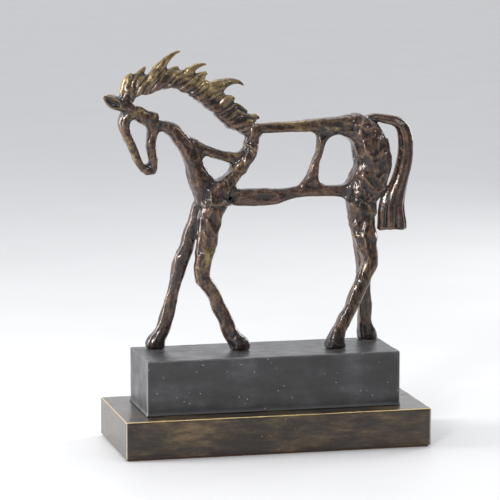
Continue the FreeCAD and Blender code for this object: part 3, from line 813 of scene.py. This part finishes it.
def charcoal():
    """Satin charcoal casting, clouded, with pinholes painted near black as painted shade and a painted glint on
    one side of each, filler smeared about the hooves with a painted reflection over the rest of the top, and
    painted highlights down the upright edges.
    """
    f = Finish("charcoal_casting")
    cloud = f.noise(20, 8, 0.68)
    brushed = f.noise(60, 5, 0.6, f.stretched((0.35, 1.0, 1.3)))
    mottle = f.math("MULTIPLY_ADD", brushed, 0.4, f.math("MULTIPLY", cloud, 0.62))
    base = f.ramp(mottle, [(0.38, (0.008, 0.0075, 0.008)), (0.52, (0.019, 0.0185, 0.020)),
                           (0.66, (0.052, 0.050, 0.055))])
    worn = f.mix(f.between(f.attribute("ridge"), 0.62, 1.0, 0.0, 0.4), base, (0.09, 0.088, 0.09))
    wiped = f.between(f.noise(240, 5, 0.7, f.stretched((0.4, 1.0, 1.0))), 0.42, 0.66)
    # Filler smeared about the hooves, and a painted reflection over the rest of the top face.
    filler_and_reflection = f.mix(f.math("MULTIPLY", f.math("MULTIPLY", f.attribute("smear_and_top_reflection"), wiped), 0.8), worn,
                    (0.30, 0.30, 0.31))
    # A painted highlight down the upright edges.
    upright_edge_highlight = f.mix(f.math("MULTIPLY", f.attribute("upright_edge_highlight"), 0.5), filler_and_reflection, (0.30, 0.30, 0.32))
    # Pinholes painted near black as painted shade in the pits, each with a painted glint on one side.
    hole, pit_glint = f.pinholes(140, 0.4)
    pit_glinted = f.mix(f.math("MULTIPLY", pit_glint, 0.9), upright_edge_highlight, (0.36, 0.355, 0.36))
    f.set(Base_Color=f.mix(hole, pit_glinted, (0.003, 0.003, 0.003)), Metallic=0.1, Specular_IOR_Level=0.85,
          Roughness=f.between(mottle, 0.35, 0.65, 0.42, 0.30))
    grain = f.math("ADD", f.noise(700, 6, 0.65), f.noise(110, 5))
    f.bump(f.math("MULTIPLY_ADD", hole, -1.5, grain), 0.35, 0.4 * MM)
    return f.material


def antique_base():
    """Dark brown casting with drawn-out gold mottling, its top edge rubbed to bright gold."""
    f = Finish("antique_casting")
    cloud = f.noise(24, 8, 0.66, f.stretched((0.6, 1.0, 1.4)))
    drawn = f.noise(110, 6, 0.7, f.stretched((0.3, 1.0, 1.5)))
    tone = f.math("MULTIPLY_ADD", drawn, 0.45, f.math("MULTIPLY", cloud, 0.58))
    base = f.ramp(tone, [(0.38, (0.009, 0.006, 0.005)), (0.49, (0.022, 0.014, 0.009)),
                         (0.57, (0.060, 0.038, 0.018)), (0.68, (0.17, 0.115, 0.050))])
    speck = f.between(f.noise(330, 4, 0.65), 0.62, 0.72)
    flecked = f.mix(f.math("MULTIPLY", speck, 0.45), base, (0.22, 0.155, 0.08))
    # Pinholes painted near black as painted shade in the pits, each with a painted glint on one side.
    hole, pit_glint = f.pinholes(110, 0.5)
    pit_glinted = f.mix(f.math("MULTIPLY", pit_glint, 0.9), flecked, (0.40, 0.30, 0.18))
    # A painted highlight down the upright edges.
    pale = f.mix(f.math("MULTIPLY", f.attribute("upright_edge_highlight"), 0.7), pit_glinted, (0.50, 0.43, 0.36))
    broken = f.between(f.math("MULTIPLY_ADD", f.noise(70, 5, 0.6), 0.5, f.attribute("rub")), 0.75, 1.05)
    gilded = f.mix(broken, pale, (0.60, 0.45, 0.22))
    f.set(Base_Color=f.mix(hole, gilded, (0.003, 0.003, 0.002)),
          Metallic=f.between(broken, 0.0, 1.0, 0.3, 1.0),
          Roughness=f.between(tone, 0.35, 0.7, 0.28, 0.44), Coat_Weight=0.5, Coat_Roughness=0.2)
    grain = f.math("ADD", f.noise(650, 6, 0.65), f.noise(80, 4))
    f.bump(f.math("MULTIPLY_ADD", hole, -1.5, grain), 0.35, 0.4 * MM)
    return f.material


def steel():
    """Zinc-plated steel with fine turning marks."""
    f = Finish("zinc_steel")
    marks = f.noise(900, 3, 0.6, f.stretched((1.0, 1.0, 12.0)))
    f.set(Base_Color=f.ramp(marks, [(0.3, (0.42, 0.43, 0.45)), (0.7, (0.62, 0.62, 0.63))]), Metallic=1.0,
          Roughness=f.between(marks, 0.3, 0.7, 0.28, 0.42))
    f.bump(marks, 0.2, 0.1 * MM)
    return f.material


def hardboard():
    """Brown pressed fibre board."""
    f = Finish("hardboard")
    fibre = f.noise(350, 6, 0.7, f.stretched((1.0, 3.0, 1.0)))
    f.set(Base_Color=f.ramp(fibre, [(0.3, (0.10, 0.06, 0.035)), (0.7, (0.24, 0.16, 0.1))]), Roughness=0.7)
    f.bump(fibre, 0.3, 0.2 * MM)
    return f.material


def cork():
    """Pressed cork granules."""
    f = Finish("cork")
    granule = f.cells(420)
    f.set(Base_Color=f.ramp(granule, [(0.0, (0.15, 0.085, 0.045)), (0.5, (0.08, 0.045, 0.025))]),
          Roughness=0.85)
    f.bump(granule, 0.4, 0.2 * MM)
    return f.material


def floor_finish():
    f = Finish("pale_floor")
    tone = f.noise(6, 3)
    f.set(Base_Color=f.ramp(tone, [(0.3, (0.60, 0.60, 0.605)), (0.7, (0.62, 0.62, 0.625))]), Roughness=0.5)
    return f.material


# ---- the studio ----
CAMERA_AIM = Vector((-0.0164, 0.0, 0.213))
CAMERA_AZIMUTH, CAMERA_ELEVATION = -13.43, 8.45
CAMERA_DISTANCE = 3.2625
CAMERA_LENS = 215.3
ROOM_FRONT, ROOM_BACK = 0.14, 1.1           # brightness of the room before the horse, and behind and above it
SOFT_BOXES = [
    ("window_left", (-1.7, 0.35, 0.75), (0.45, 1.2), 34),
    ("window_right", (1.5, 1.0, 0.8), (0.45, 1.2), 15),
    ("front_left", (-1.1, -1.9, 1.0), (0.35, 0.65), 30),
    ("front_right", (1.5, -1.5, 1.5), (0.3, 0.6), 7),
    ("overhead", (0.0, 0.2, 2.0), (0.8, 0.4), 6),
]


def make_camera():
    azimuth, elevation = math.radians(CAMERA_AZIMUTH), math.radians(CAMERA_ELEVATION)
    back = Vector((math.sin(azimuth) * math.cos(elevation), -math.cos(azimuth) * math.cos(elevation),
                   math.sin(elevation)))
    data = bpy.data.cameras.new("camera")
    data.lens = CAMERA_LENS
    data.sensor_width = 36
    camera = bpy.data.objects.new("camera", data)
    camera.location = CAMERA_AIM + back * CAMERA_DISTANCE
    camera.rotation_euler = (-back).to_track_quat("-Z", "Y").to_euler()
    bpy.context.scene.collection.objects.link(camera)
    bpy.context.scene.camera = camera


def soft_box(name, place, size, power, aim=(0, 0, 0.24)):
    data = bpy.data.lights.new(name, "AREA")
    data.shape = "RECTANGLE"
    data.size, data.size_y = size
    data.energy = power
    light = bpy.data.objects.new(name, data)
    light.location = place
    light.rotation_euler = (Vector(aim) - Vector(place)).to_track_quat("-Z", "Y").to_euler()
    bpy.context.scene.collection.objects.link(light)


def room_light():
    """A plain room that is bright behind, above and to the left, and dimmer in front."""
    world = bpy.data.worlds.new("studio")
    world.use_nodes = True
    tree = world.node_tree
    way = tree.nodes.new("ShaderNodeTexCoord")
    facing = tree.nodes.new("ShaderNodeVectorMath")
    facing.operation = "DOT_PRODUCT"
    facing.inputs[1].default_value = (-0.35, 0.7, 0.62)
    strength = tree.nodes.new("ShaderNodeMapRange")
    strength.inputs["From Min"].default_value = -0.7
    strength.inputs["From Max"].default_value = 0.8
    strength.inputs["To Min"].default_value = ROOM_FRONT
    strength.inputs["To Max"].default_value = ROOM_BACK
    background = tree.nodes["Background"]
    background.inputs["Color"].default_value = (0.96, 0.97, 1.0, 1)
    tree.links.new(way.outputs["Generated"], facing.inputs[0])
    tree.links.new(facing.outputs["Value"], strength.inputs["Value"])
    tree.links.new(strength.outputs["Result"], background.inputs["Strength"])
    bpy.context.scene.world = world


def make_studio():
    bpy.context.scene.view_settings.view_transform = "Standard"
    half = 20.0
    corners = np.array([(-half, -half, 0), (half, -half, 0), (half, half, 0), (-half, half, 0)])
    floor = linked("floor", filled_mesh("floor", corners, [np.array([[0, 1, 2, 3]])]))
    floor.data.materials.append(floor_finish())
    for name, place, size, power in SOFT_BOXES:
        soft_box(name, place, size, power)
    room_light()


def dress_hidden_parts():
    """Materials for the pieces inside and under the plinth, which stay as the CAD made them."""
    finishes = {"steel": steel(), "board": hardboard(), "cork": cork()}
    slots = {row["node"]: row["material_slot"] for row in frame["record"]["subparts"]}
    for name, obj in frame["nodes"].items():
        if slots[name] in finishes:
            obj.data.materials.clear()
            obj.data.materials.append(finishes[slots[name]])


make_camera()
make_studio()
make_horse(bronze())
make_tier("upper_tier", charcoal(), 1.1 * MM, 50)
make_tier("lower_tier", antique_base(), 0, 60)
dress_hidden_parts()
